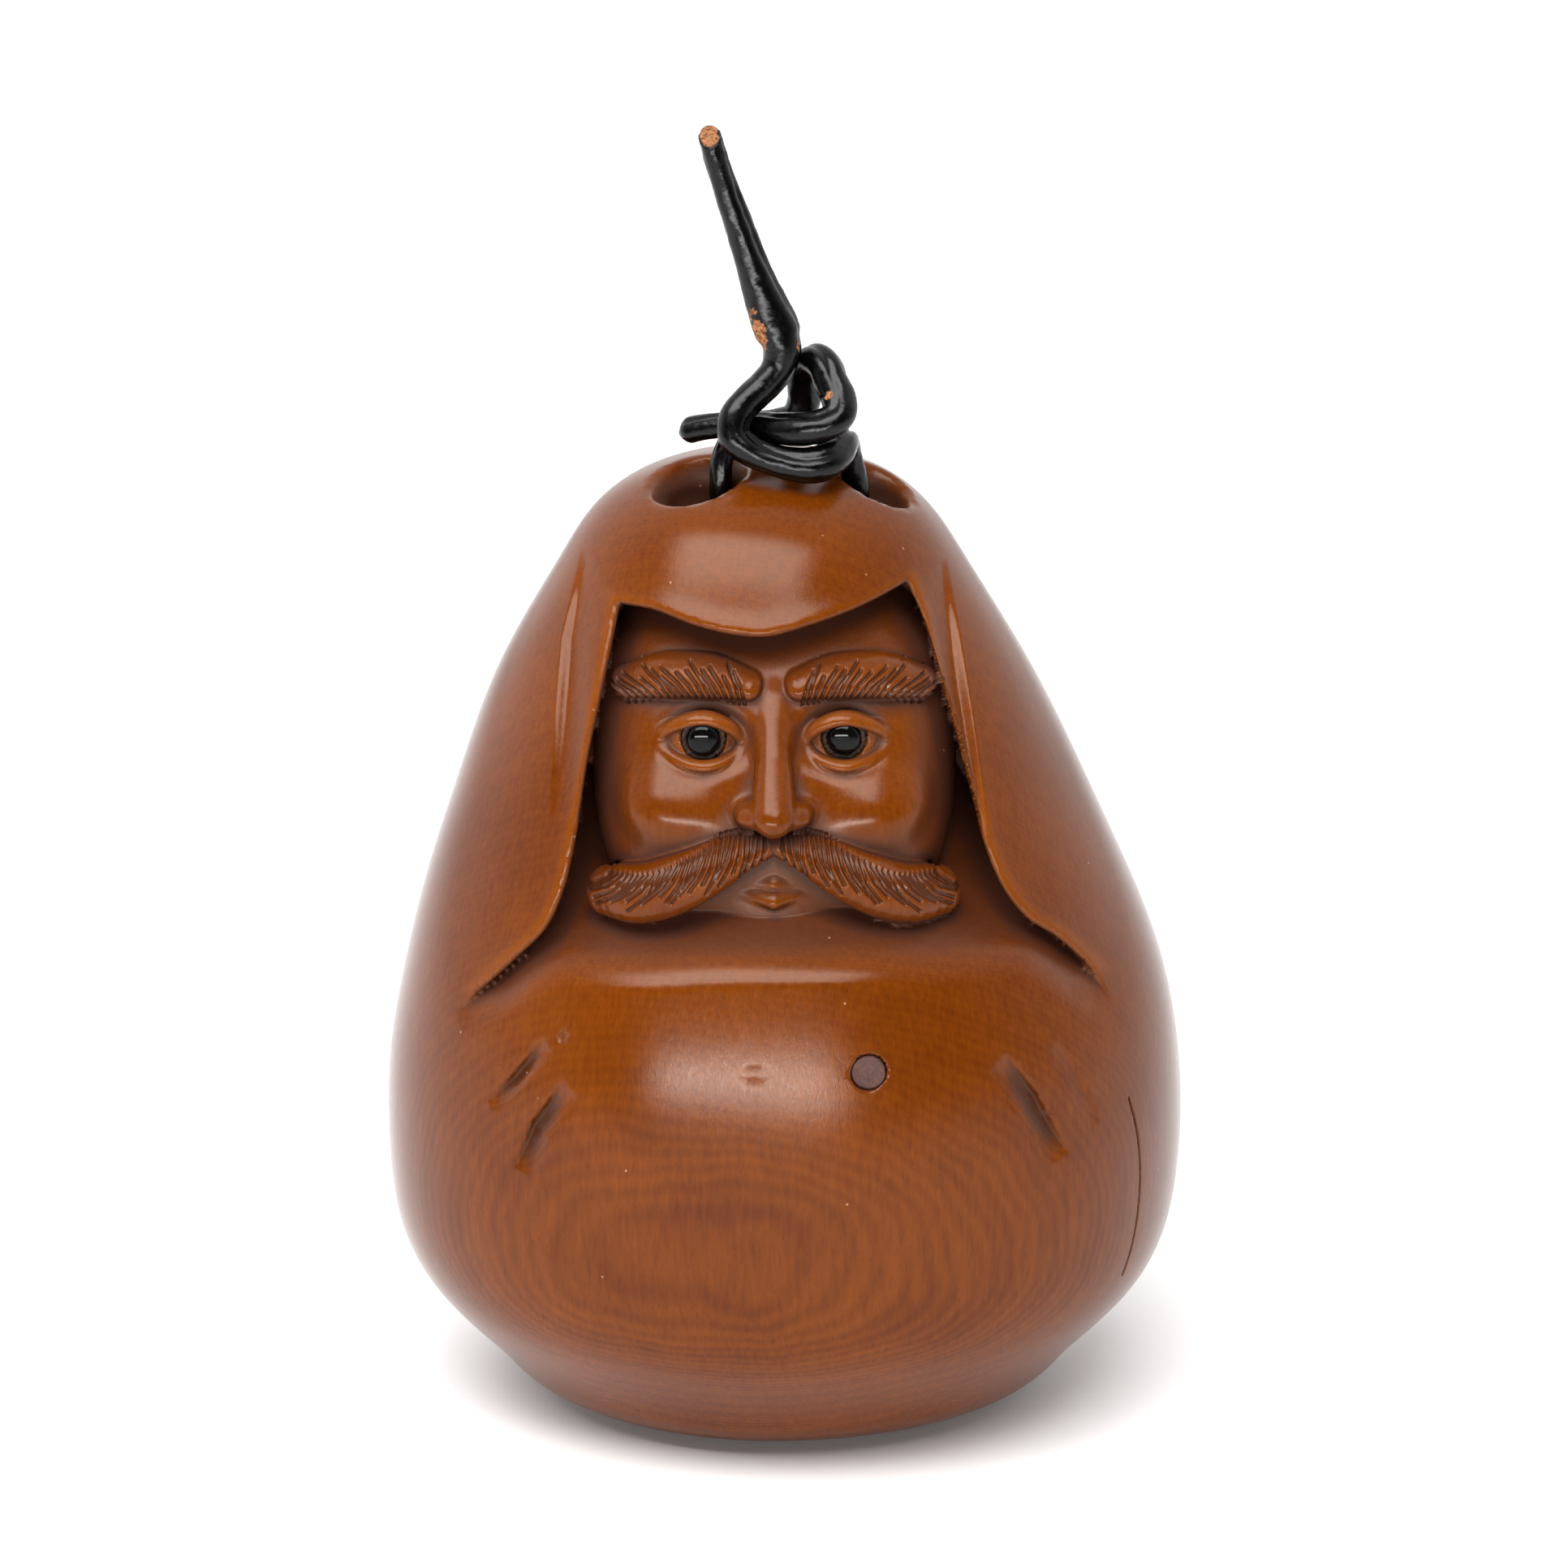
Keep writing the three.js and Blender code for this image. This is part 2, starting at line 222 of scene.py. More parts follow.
KNOTS, VALUES, BENDS = squared_section()


def section_squared(z):
    """Radius squared at a height and its slope, carried on in a straight line past both ends."""
    inside = np.clip(z, 0, HEIGHT)
    i = np.clip(np.searchsorted(KNOTS, inside, side="right") - 1, 0, len(KNOTS) - 2)
    step = KNOTS[i + 1] - KNOTS[i]
    a = (KNOTS[i + 1] - inside) / step
    b = 1 - a
    value = a * VALUES[i] + b * VALUES[i + 1]
    value += ((a ** 3 - a) * BENDS[i] + (b ** 3 - b) * BENDS[i + 1]) * step ** 2 / 6
    slope = (VALUES[i + 1] - VALUES[i]) / step
    slope += (-(3 * a ** 2 - 1) * BENDS[i] + (3 * b ** 2 - 1) * BENDS[i + 1]) * step / 6
    return value + slope * (z - inside), slope


def front_line(z):
    """The uncarved body's foremost y at a height."""
    return -DEPTH_RATIO * np.sqrt(np.maximum(section_squared(z)[0], 0.01))


# ---- The carved body as a distance field ----

def blank_field(p):
    """The uncarved body, with the slight unevenness of hand work."""
    x, y, z = p.T
    across = x - lean_at(z)
    level = across ** 2 + (y / DEPTH_RATIO) ** 2
    section, slope = section_squared(z)
    field = (level - section) / np.sqrt(4 * np.maximum(level, section) + slope ** 2 + 1)
    angle = np.arctan2(across, -y)
    field += 0.05 * np.sin(3 * angle + 0.11 * z) * np.sin(0.17 * z + 1.3) * ramp(level, 20, 120)
    field += 0.03 * np.sin(7 * angle - 0.23 * z + 0.6) * np.sin(0.31 * z) * ramp(level, 20, 120)
    return smooth_max(field, -z, 0.9)


class Lattice:
    """A field of x and z worked out once on a fine square lattice and looked up between its points."""

    def __init__(self, make, low, high, pitch):
        self.low = low
        self.pitch = pitch
        self.columns = int((high[0] - low[0]) / pitch) + 2
        self.rows = int((high[1] - low[1]) / pitch) + 2
        across = low[0] + pitch * np.arange(self.columns)
        upwards = low[1] + pitch * np.arange(self.rows)
        x, z = np.meshgrid(across, upwards)
        self.values = make(x, z)

    def __call__(self, x, z):
        u = np.clip((x - self.low[0]) / self.pitch, 0, self.columns - 1.001)
        v = np.clip((z - self.low[1]) / self.pitch, 0, self.rows - 1.001)
        i, j = u.astype(int), v.astype(int)
        fu, fv = u - i, v - j
        near = self.values[j, i] * (1 - fu) + self.values[j, i + 1] * fu
        far = self.values[j + 1, i] * (1 - fu) + self.values[j + 1, i + 1] * fu
        return near * (1 - fv) + far * fv


def soft_line(points, corners):
    """A curve through points, broken at its corners so that they stay sharp."""
    stops = [0, *corners, len(points) - 1]
    parts = [curve_through(points[a:b + 1], 5)[:-1] for a, b in zip(stops[:-1], stops[1:])]
    return np.vstack([*parts, points[-1:]])


CORNER_LEFT, CORNER_RIGHT = HOOD_EDGE.index((-9.6, 51.4)), HOOD_EDGE.index((7.2, 52.5))
EDGE_LINE = soft_line(HOOD_EDGE, [CORNER_LEFT, CORNER_RIGHT])
BELLY_LINE = curve_through(BELLY_TOP, 4)
FACE_LOW, FACE_HIGH = (-22, 24), (22, 57)
UNDER_HOOD = np.vstack([EDGE_LINE, [(23, 24), (23, 10), (-23, 10), (-23, 24)]])
OVER_BELLY = np.vstack([BELLY_LINE, [(23, 28), (23, 60), (-23, 60), (-23, 27.6)]])


def signed_distance(line, region):
    """A field that is the distance to a line, negative inside a region that the line bounds."""
    def distance(x, z):
        away = polyline_distance(x, z, line)
        return np.where(inside_outline(x, z, region), -away, away)
    return distance


hood_at = Lattice(signed_distance(EDGE_LINE, UNDER_HOOD), FACE_LOW, FACE_HIGH, LATTICE_PITCH)
belly_at = Lattice(signed_distance(BELLY_LINE, OVER_BELLY), FACE_LOW, FACE_HIGH, LATTICE_PITCH)


def recess_depth(x, z):
    """How deep the hood is cut: softly from the belly inwards, and to nothing at the shoulders."""
    rise = np.maximum(BELLY_ROLL_START - belly_at(x, z), 0)
    shoulders = 1 - ramp(np.abs(x), 16.0, 19.8)
    return FACE_DEPTH * (1 - np.exp(-(rise / BELLY_ROLL) ** 2)) * shoulders


# One side's moustache and brow: x from the face's middle line, height, and how far out from the front line.
MOUSTACHE = [
    (0.4, NOSE_BASE - 0.9, -1.5), (2.4, NOSE_BASE - 1.6, -1.5), (4.8, NOSE_BASE - 2.9, -2.1),
    (7.4, NOSE_BASE - 4.1, -3.5), (9.6, NOSE_BASE - 4.5, -5.3),
]
BROW = [
    (1.5, BROW_HEIGHT, -2.3), (3.6, BROW_HEIGHT + 0.4, -2.4), (6.1, BROW_HEIGHT + 0.35, -3.0),
    (8.7, BROW_HEIGHT - 0.4, -4.6),
]


def moustache_field(mirrored):
    line = curve_through(MOUSTACHE, 4)
    radii = np.interp(np.linspace(0, 1, len(line)), [0, 0.3, 0.6, 0.85, 1], [0.75, 1.3, 1.65, 1.65, 1.4])
    return rope(mirrored, line, radii)


def brow_field(mirrored):
    line = curve_through(BROW, 4)
    radii = np.interp(np.linspace(0, 1, len(line)), [0, 0.3, 0.7, 1], [0.85, 1.2, 1.25, 0.9])
    return rope(mirrored, line, radii)


def skull_field(q):
    """A rounded block, squarer than a ball."""
    scaled = np.abs((q - (0, 42.3, -10.1)) / (10.8, 10.8, 8.2))
    size = (scaled ** 2.6).sum(axis=1) ** (1 / 2.6)
    return (size - 1) * 8.6


def with_eyes(field, q, mirrored):
    """The head with an eyeball in each eye hollow, a pit for its inlay, and its two lids."""
    eye = EYE_HEIGHT
    eyeball = ball(mirrored, (EYE_WIDTH, eye, EYE_BACK), (2.3, 1.7, 2.0))
    pit = np.hypot(mirrored[:, 0] - EYE_WIDTH, q[:, 1] - eye) - BED_RADIUS
    field = smooth_min(field, smooth_max(eyeball, -pit, 0.1), 0.12)
    field = smooth_max(field, -np.maximum(pit, EYE_FLOOR - q[:, 2]), 0.08)
    inner_corner, outer_corner = (1.7, eye - 0.35, -3.0), (7.0, eye - 0.3, -3.7)
    upper = [(2.6, eye + 0.7, -2.2), (4.0, eye + 1.25, -1.85), (5.6, eye + 0.8, -2.4)]
    lower = [(2.8, eye - 1.15, -2.4), (4.1, eye - 1.42, -2.15), (5.5, eye - 1.2, -2.65)]
    for middle, thick in ((upper, 0.42), (lower, 0.32)):
        lid = curve_through([inner_corner, *middle, outer_corner], 4)
        radii = thick * np.sin(np.linspace(0.35, math.pi - 0.35, len(lid))) ** 0.5
        field = smooth_min(field, rope(mirrored, lid, radii), 0.3)
    return field


def nose_field(q, mirrored):
    bridge = [(0, EYE_HEIGHT + 2.0, -2.9), (0, EYE_HEIGHT - 1.0, -1.7), (0, NOSE_BASE + 1.0, -0.6)]
    nose = rope(q, bridge, [0.95, 1.05, 1.3])
    wings = ball(mirrored, (1.35, NOSE_BASE + 0.7, -1.7), (0.95, 0.8, 1.2))
    nostrils = ball(mirrored, (0.72, NOSE_BASE - 0.1, -1.1), (0.4, 0.4, 0.6))
    return smooth_max(smooth_min(nose, wings, 0.7), -nostrils, 0.2)


def with_mouth(field, q, mirrored):
    chin = CHIN_HEIGHT
    upper_lip = rope(mirrored, [(0, chin + 2.55, -2.7), (2.5, chin + 2.3, -3.5)], [0.42, 0.2])
    lower_lip = rope(mirrored, [(0, chin + 1.65, -2.6), (2.3, chin + 2.0, -3.4)], [0.55, 0.25])
    field = smooth_min(field, ball(q, (0, chin + 1.1, -4.6), (3.4, 2.2, 1.8)), 0.6)
    return smooth_min(field, smooth_min(upper_lip, lower_lip, 0.08), 0.25)


def head_field(q):
    """The head in the hood. q holds x from the face's middle line, height, and how far out from
    the body's front line."""
    mirrored = q.copy()
    mirrored[:, 0] = np.abs(q[:, 0])
    cheeks = ball(mirrored, (5.5, NOSE_BASE + 0.8, -4.5), (3.2, 2.5, 2.6))
    eye_hollows = ball(mirrored, (4.2, EYE_HEIGHT + 0.1, -1.2), (3.1, 1.9, 2.2))
    field = smooth_max(smooth_min(skull_field(q), cheeks, 1.2), -eye_hollows, 0.9)
    field = with_eyes(field, q, mirrored)
    field = smooth_min(field, nose_field(q, mirrored), 0.6)
    field = with_mouth(field, q, mirrored)
    field = smooth_min(field, moustache_field(mirrored), 0.22)
    return smooth_min(field, brow_field(mirrored), 0.2)


# The drilled way through the crown, from one hole down and up to the other.
CHANNEL_ROUTE = [
    (-5.0, -2.6, 57.9), (-4.7, -2.3, 56.3), (-3.3, -2.1, 54.5), (0.2, -1.7, 53.6), (3.7, -1.3, 54.5),
    (5.1, -1.2, 56.2), (5.6, -1.3, 57.8),
]


def hooded(body, p):
    """The front of the body with its hood cut out, a raised lip around the hood, and the head in it."""
    x, y, z = p.T
    hood = hood_at(x, z)
    depth = recess_depth(x, z)
    recess = np.maximum(hood, -body - depth)
    lip = 0.07 * np.exp(-((hood - 0.5) / 0.5) ** 2) * (hood > 0) * (1 - ramp(np.abs(x), 16, 19))
    body = smooth_max(body - lip, -recess, 0.48 * np.clip(depth / 0.6, 0.01, 1))
    head = head_field(np.column_stack([x - FACE_X, z, front_line(z) - y]))
    within = (hood < 0.2) & (belly_at(x, z) < 0)
    return np.where(within, smooth_min(body, head, 0.15), body)


def crown_hole(p):
    """The drilled way for the cord, with a funnel at each end that the cord has worn forwards."""
    way = curve_through(CHANNEL_ROUTE, 3)
    hole = rope(p, way, np.full(len(way), CHANNEL_RADIUS))
    for end, inner in ((0, 1), (-1, -2)):
        mouth, below = np.array(CHANNEL_ROUTE[end]), np.array(CHANNEL_ROUTE[inner])
        outwards = (mouth - below) / np.linalg.norm(mouth - below)
        foot, brim = mouth - outwards * 1.6, mouth + outwards * 2.4
        worn = brim + (0.1 * mouth[0], -0.9, 0)
        for top, radius in ((brim, MOUTH_RADIUS), (worn, WORN_MOUTH_RADIUS)):
            hole = smooth_min(hole, rope(p, [foot, top], [CHANNEL_RADIUS + 0.05, radius]), 0.3)
    return hole


def carved_field(p):
    """Signed distance to the finished carving, in millimetres, negative inside the wood."""
    field = blank_field(p)
    x, y, z = p.T
    face = (y < -3) & (z > FACE_LOW[1] + 1) & (z < 54.5) & (np.abs(x) < 21) & (np.abs(field) < 8)
    if face.any():
        field[face] = hooded(field[face], p[face])
    drilled = from_plug(x, z) - PLUG_RADIUS - 0.03
    field = smooth_max(field, -np.maximum(drilled, y - PLUG_HIGH.y), 0.06)
    crown = z > 50
    if crown.any():
        field[crown] = smooth_max(field[crown], -crown_hole(p[crown]), 0.25)
    return field


def field_normals(p, step=0.02):
    gradient = np.empty_like(p)
    for axis in range(3):
        shift = np.zeros(3)
        shift[axis] = step
        gradient[:, axis] = (carved_field(p + shift) - carved_field(p - shift)) / (2 * step)
    return gradient


def onto_surface(p, rounds=3, step=0.01):
    for _ in range(rounds):
        here = carved_field(p)
        gradient = np.column_stack([carved_field(p + step * axis) - here for axis in np.eye(3)]) / step
        size = np.maximum((gradient ** 2).sum(axis=1), 0.2)
        p = p - gradient * np.clip(here / size, -0.4, 0.4)[:, None]
    return p


def meshed_field():
    """Points and four-sided faces around the carving, one voxel grid over its whole box."""
    low = np.array(FIELD_LOW)
    counts = np.ceil((FIELD_HIGH - low) / VOXEL).astype(int)
    values = np.empty(counts, np.float32)
    columns, depths, heights = (start + VOXEL * np.arange(count) for start, count in zip(low, counts))
    y, z = np.meshgrid(depths, heights, indexing="ij")
    for i, x in enumerate(columns):
        p = np.column_stack([np.full(y.size, x), y.ravel(), z.ravel()])
        values[i] = np.clip(carved_field(p), -3, 3).reshape(counts[1:])
    grid = openvdb.FloatGrid(3.0)
    grid.copyFromArray(values)
    points, quads = grid.convertToQuads(isovalue=0.0)
    return points.astype(float) * VOXEL + low, quads


# ---- Knife work: the marks that are finer than the voxels ----

def gouge_depth(x, z, line, depth, steep, ease, side):
    """A cut that is steep on one side of a line and runs out softly on the other, ending in points."""
    line = np.asarray(line, float)
    lengths = np.linalg.norm(np.diff(line, axis=0), axis=1)
    nearest = np.full(x.shape, np.inf)
    across = np.zeros(x.shape)
    along = np.zeros(x.shape)
    for (ax, az), (bx, bz), before in zip(line[:-1], line[1:], np.r_[0, np.cumsum(lengths)]):
        dx, dz = bx - ax, bz - az
        size = math.hypot(dx, dz)
        t = np.clip(((x - ax) * dx + (z - az) * dz) / size ** 2, 0, 1)
        away = np.hypot(x - ax - t * dx, z - az - t * dz)
        closer = away < nearest
        nearest = np.where(closer, away, nearest)
        signed = side * ((x - ax) * -dz + (z - az) * dx) / size
        across = np.where(closer, np.copysign(away, signed), across)
        along = np.where(closer, (before + t * size) / lengths.sum(), along)
    shape = np.where(across > 0, 1 - ramp(across, 0, ease), 1 - ramp(-across, 0, steep))
    return depth * shape * np.sin(math.pi * np.clip(along, 0, 1)) ** 0.7


# Line, depth, width of the steep side, width of the soft side, and 1 or -1 for which side is soft.
GOUGES = [
    ([(-14.1, 27.2), (-15.6, 25.3), (-17.4, 22.8)], 0.42, 0.16, 1.0, 1),
    ([(-13.0, 25.0), (-14.9, 22.2), (-15.8, 19.4)], 0.5, 0.16, 1.5, 1),
    ([(-12.8, 28.0), (-13.3, 27.4)], 0.2, 0.2, 0.5, 1),
    ([(13.0, 26.6), (14.9, 23.9), (16.7, 20.0)], 0.5, 0.16, 1.7, -1),
    ([(16.1, 26.6), (17.4, 24.2), (18.7, 21.2)], 0.16, 0.2, 1.1, -1),
]
HOOD_CREASES = [
    ([(-11.7, 53.4), (-12.8, 49.0), (-13.1, 45.5), (-13.4, 39.5)], 0.5, 0.35, 2.0, 1),
    ([(9.3, 53.0), (10.1, 49.0), (10.8, 45.0), (11.8, 38.6)], 0.55, 0.35, 2.2, -1),
]

HAIR_DEPTH, HAIR_WIDTH = 0.15, 0.17
CRACK_DEPTH, CRACK_WIDTH = 0.25, 0.13
DENT_DEPTH = 0.06

# The drying crack, laid onto the carved surface.
CRACK = onto_surface(curve_through([(20.4, -11.2, 21.8), (20.9, -10.7, 19.5), (21.2, -10.4, 17.0),
                                    (21.0, -10.3, 13.8), (20.2, -10.5, 10.4)], 5))

# The roots of the hair on one side, as x from the face's middle line and height.
BROW_LINE = curve_through([place[:2] for place in BROW], 8)
MOUSTACHE_LINE = curve_through([place[:2] for place in MOUSTACHE], 8)


def hair_strokes():
    """Short curved knife strokes for one side's brow and moustache, as lines of x and height."""
    strokes = []
    for count, line, lift, reach, first, last in (
        (19, BROW_LINE, -1.1, 2.4, 8, 58),
        (30, MOUSTACHE_LINE, 1.4, 3.1, 184, 128),
    ):
        for k in range(count):
            t = (k + 0.6) / count
            place = t * (len(line) - 1)
            i = min(int(place), len(line) - 2)
            root = line[i] + (line[i + 1] - line[i]) * (place - i) + (0, lift)
            turn = math.radians(first + (last - first) * t + 5 * math.sin(5.1 * k))
            bend = math.radians(16 if lift < 0 else -14)
            size = reach * (0.86 + 0.14 * math.sin(2.3 * k))
            middle = root + 0.5 * size * np.array([math.sin(turn), math.cos(turn)])
            tip = middle + 0.5 * size * np.array([math.sin(turn + bend), math.cos(turn + bend)])
            strokes.append([root, middle, tip])
    return strokes


def hair_depth(x, z):
    depth = np.zeros(x.shape)
    for stroke in hair_strokes():
        away = polyline_distance(x, z, stroke)
        depth = np.maximum(depth, HAIR_DEPTH * (1 - ramp(away, 0.02, HAIR_WIDTH)))
    return depth


def near_hair(x, z, reach):
    side = np.abs(x - FACE_X)
    away = [polyline_distance(side, z, line) for line in (BROW_LINE, MOUSTACHE_LINE)]
    return np.minimum(*away) < reach


def near_gouges(x, z):
    cut = sum(gouge_depth(x, z, *gouge) for gouge in GOUGES)
    return cut > 0.004


def near_creases(x, z):
    return np.minimum.reduce([polyline_distance(x, z, crease[0]) for crease in HOOD_CREASES]) < 0.7


def refined(points, faces):
    """The mesh cut finer where the carving is finer, by halving the edges of the faces there."""
    mesh = bpy.data.meshes.new("refining")
    mesh.from_pydata(points.tolist(), [], faces.tolist())
    bm = bmesh.new()
    bm.from_mesh(mesh)
    bpy.data.meshes.remove(mesh)

    def in_opening(x, y, z):
        return (y < -3) & (z > 23.6) & (z < 54) & (hood_at(x, z) < 0.9) & (belly_at(x, z) < 2.0)

    def in_face(x, y, z):
        close = (np.abs(x - FACE_X) < 11.5) & (z < 49.8) & (z > 33.4)
        return in_opening(x, y, z) & close & (front_line(z) - y > -6.8)

    def in_marks(x, y, z):
        crack = rope(np.column_stack([x, y, z]), CRACK, [0.6] * len(CRACK)) < 0
        drilled = (y < 0) & (from_plug(x, z) < PLUG_RADIUS + 0.35)
        return ((y < -3) & (near_gouges(x, z) | near_creases(x, z))) | crack | drilled

    def in_hair(x, y, z):
        crack = rope(np.column_stack([x, y, z]), CRACK, [0.3] * len(CRACK)) < 0
        return (in_face(x, y, z) & near_hair(x, z, 1.7) & (front_line(z) - y > -6.4)) | crack

    def in_opening_or_marks(x, y, z):
        return in_opening(x, y, z) | in_marks(x, y, z)

    def in_face_or_marks(x, y, z):
        return in_face(x, y, z) | in_marks(x, y, z)

    for wanted in (in_opening_or_marks, in_face_or_marks, in_hair):
        bm.faces.ensure_lookup_table()
        centres = np.array([face.calc_center_median() for face in bm.faces])
        chosen = np.nonzero(wanted(*centres.T))[0]
        edges = list({edge for i in chosen for edge in bm.faces[i].edges})
        bmesh.ops.subdivide_edges(bm, edges=edges, cuts=1, use_grid_fill=True)
    return bm


def crease_depth(p):
    x, y, z = p.T
    depth = np.zeros(len(p))
    front = (y < -2) & (z > 38) & (z < 55)
    creases = sum(gouge_depth(x[front], z[front], *crease) for crease in HOOD_CREASES)
    depth[front] = creases * (hood_at(x[front], z[front]) > 0)
    return depth


def knife_marks(p):
    """How deep the knife marks lie under the carved surface, and how dark the stain in them is."""
    x, y, z = p.T
    depth = np.zeros(len(p))
    ink = np.zeros(len(p))
    front = (y < -3) & (z > 15) & (z < 55)
    marks = sum(gouge_depth(x[front], z[front], *gouge) for gouge in GOUGES)
    marks *= recess_depth(x[front], z[front]) < 0.3
    depth[front] += marks
    ink[front] += ramp(marks, 0.08, 0.38)
    side = np.abs(x - FACE_X)
    mirrored = np.column_stack([side, z, front_line(z) - y])
    haired = front & (np.minimum(moustache_field(mirrored), brow_field(mirrored)) < 0.25)
    strokes = hair_depth(side[haired], z[haired])
    depth[haired] += strokes
    ink[haired] += ramp(strokes, 0.02, HAIR_DEPTH)
    crack = 1 - ramp(rope(p, CRACK, [0.0] * len(CRACK)), 0.03, CRACK_WIDTH)
    depth += CRACK_DEPTH * crack
    ink = np.maximum(ink, 1.2 * crack)
    dent = np.hypot((x + 1.7) / 1.1, (z - 26.7) / 0.6)
    depth += np.where(y < 0, DENT_DEPTH * (1 - ramp(dent, 0.0, 1)), 0)
    return depth, ink


def hollow_share(p, normals):
    """From 0 on open surface to 1 in a tight hollow, from how near the wood is outside each point."""
    share = np.zeros(len(p))
    for reach, weight in ((0.35, 0.3), (0.9, 0.3), (1.8, 0.25), (3.4, 0.15)):
        clear = carved_field(p + normals * reach)
        share += weight * np.clip(1 - clear / reach, 0, 1)
    return share


def depth_in_hood(p):
    """How dark the painted shade and stain are: 0 on the face and outside, 1 on the hood's floor, more in
    the cord's way, where it is painted shade.
    """
    x, y, z = p.T
    inside = (y < -3) & (z > 25) & (z < 54) & (hood_at(x, z) < 0.1)
    depth = recess_depth(x, z)
    below = -blank_field(p) / np.maximum(depth, 0.5)
    hood_floor = ramp(below, 0.45, 0.95) * ramp(depth, 0.4, 1.6)
    drilled = (z > 50) & (hood_at(x, z) > 0.3)
    return np.where(inside, hood_floor, np.where(drilled, 1.5 * ramp(-blank_field(p), 0.1, 1.1), 0))


def edge_share(p, normals):
    """From 0 on flat surface to 1 on a sharp raised edge, by how near the air is inside each point."""
    reach = 0.6
    raised = np.clip(1 + carved_field(p - normals * reach) / reach, 0, 1)
    return raised * ramp(from_plug(p[:, 0], p[:, 2]), 1.6, 2.0)


def mesh_from(bm, name):
    mesh = bpy.data.meshes.new(name)
    bm.to_mesh(mesh)
    bm.free()
    return mesh


def add_values(mesh, name, values):
    attribute = mesh.attributes.new(name, "FLOAT", "POINT")
    attribute.data.foreach_set("value", np.asarray(values, np.float32))


def new_object(name, mesh, material, body):
    piece = bpy.data.objects.new(name, mesh)
    bpy.context.scene.collection.objects.link(piece)
    mesh.materials.append(material)
    mesh.shade_smooth()
    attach(piece, body)
    return piece


def make_body(material):
    bm = refined(*meshed_field())
    points = onto_surface(np.array([vert.co for vert in bm.verts]))
    normals = field_normals(points)
    normals /= np.maximum(np.linalg.norm(normals, axis=1), 1e-6)[:, None]
    depth, ink = knife_marks(points)
    # Painted shade and stain: how closed in each point is, to darken the wood in hollows.
    shade_and_stain = hollow_share(points, normals)
    # Raised edges made paler, partly as rubbed wear and partly as a painted highlight.
    edge_wear_and_highlight = edge_share(points, normals)
    sunk = depth + crease_depth(points)
    for vert, place in zip(bm.verts, (points - normals * sunk[:, None]) * MM):
        vert.co = place
    bmesh.ops.recalc_face_normals(bm, faces=bm.faces)
    mesh = mesh_from(bm, "daruma_body")
    add_values(mesh, "hollow", shade_and_stain)
    add_values(mesh, "edge", edge_wear_and_highlight)
    add_values(mesh, "ink", ink)
    # Painted shade and stain on the hood's floor, painted shade in the cord's way.
    add_values(mesh, "deep", depth_in_hood(points))
    body = new_object("daruma_body", mesh, material, "body")
    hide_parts("carved_body")


# ---- Materials ----

class Nodes:
    """A material's node tree, built with short calls."""

    def __init__(self, name):
        self.material = bpy.data.materials.new(name)
        self.material.use_nodes = True
        self.tree = self.material.node_tree
        self.shader = self.tree.nodes["Principled BSDF"]

    def add(self, kind, *, use=0, settings=None, **inputs):
        """The output, numbered use, of a new node whose inputs are fed by name, or by number as i0."""
        node = self.tree.nodes.new("ShaderNode" + kind)
        for name, value in (settings or {}).items():
            setattr(node, name, value)
        for name, value in inputs.items():
            numbered = name[0] == "i" and name[1:].isdigit()
            self.feed(node.inputs[int(name[1:]) if numbered else name], value)
        return node.outputs[use]

    def feed(self, socket, value):
        if isinstance(value, bpy.types.NodeSocket):
            self.tree.links.new(value, socket)
        elif isinstance(value, tuple) and len(value) == 3 and socket.type == "RGBA":
            socket.default_value = (*value, 1)
        else:
            socket.default_value = value

    def surface(self, **inputs):
        for name, value in inputs.items():
            self.feed(self.shader.inputs[name.replace("_", " ")], value)

    def coordinates(self, scale=(1, 1, 1)):
        """Places on the piece in millimetres, stretched by scale."""
        place = self.add("TexCoord", use=3)
        return self.add("VectorMath", settings={"operation": "MULTIPLY"}, i0=place,
                        i1=tuple(1000 * s for s in scale))

    def noise(self, scale, detail=3.0, stretch=(1, 1, 1), roughness=0.5):
        return self.add("TexNoise", Vector=self.coordinates(stretch), Scale=scale, Detail=detail,
                        Roughness=roughness)

    def between(self, value, low, high, to_low=0.0, to_high=1.0):
        return self.add("MapRange", Value=value, **{"From Min": low, "From Max": high, "To Min": to_low,
                                                    "To Max": to_high})

    def mix(self, share, a, b):
        return self.add("Mix", settings={"data_type": "RGBA"}, use=2, i0=share, i6=a, i7=b)

    def maths(self, operation, a, b=0.0):
        return self.add("Math", settings={"operation": operation}, i0=a, i1=b)

    def squared(self, value):
        return self.maths("MULTIPLY", value, value)

    def bump(self, height, strength, distance, before=None):
        inputs = {"Height": height, "Strength": strength, "Distance": distance * MM}
        if before is not None:
            inputs["Normal"] = before
        return self.add("Bump", **inputs)

    def value_of(self, name):
        return self.add("Attribute", settings={"attribute_name": name}, use=2)


DARK_WOOD, PALE_WOOD = (0.071, 0.0123, 0.0005), (0.15, 0.0335, 0.0012)
# The hollow colour is painted shade as well as stain, laid in hollows, on the hood's floor and in the
# cord's way; the cut colour is stain in the knife marks.
HOLLOW_SHADE_AND_STAIN, CUT_STAIN = (0.05, 0.015, 0.008), (0.025, 0.008, 0.004)
# Rubbed wear and painted highlight: the paler colour laid on raised edges.
RUBBED_EDGE_AND_HIGHLIGHT = (0.22, 0.055, 0.004)
FLECK, SPECK = (0.05, 0.011, 0.002), (0.5, 0.34, 0.2)
TRUNK_MIDDLE = (1.6, 12.0, 15.0)
RING_RATE, BROAD_RING_RATE = 31.0, 8.5          # radians for each millimetre out from there


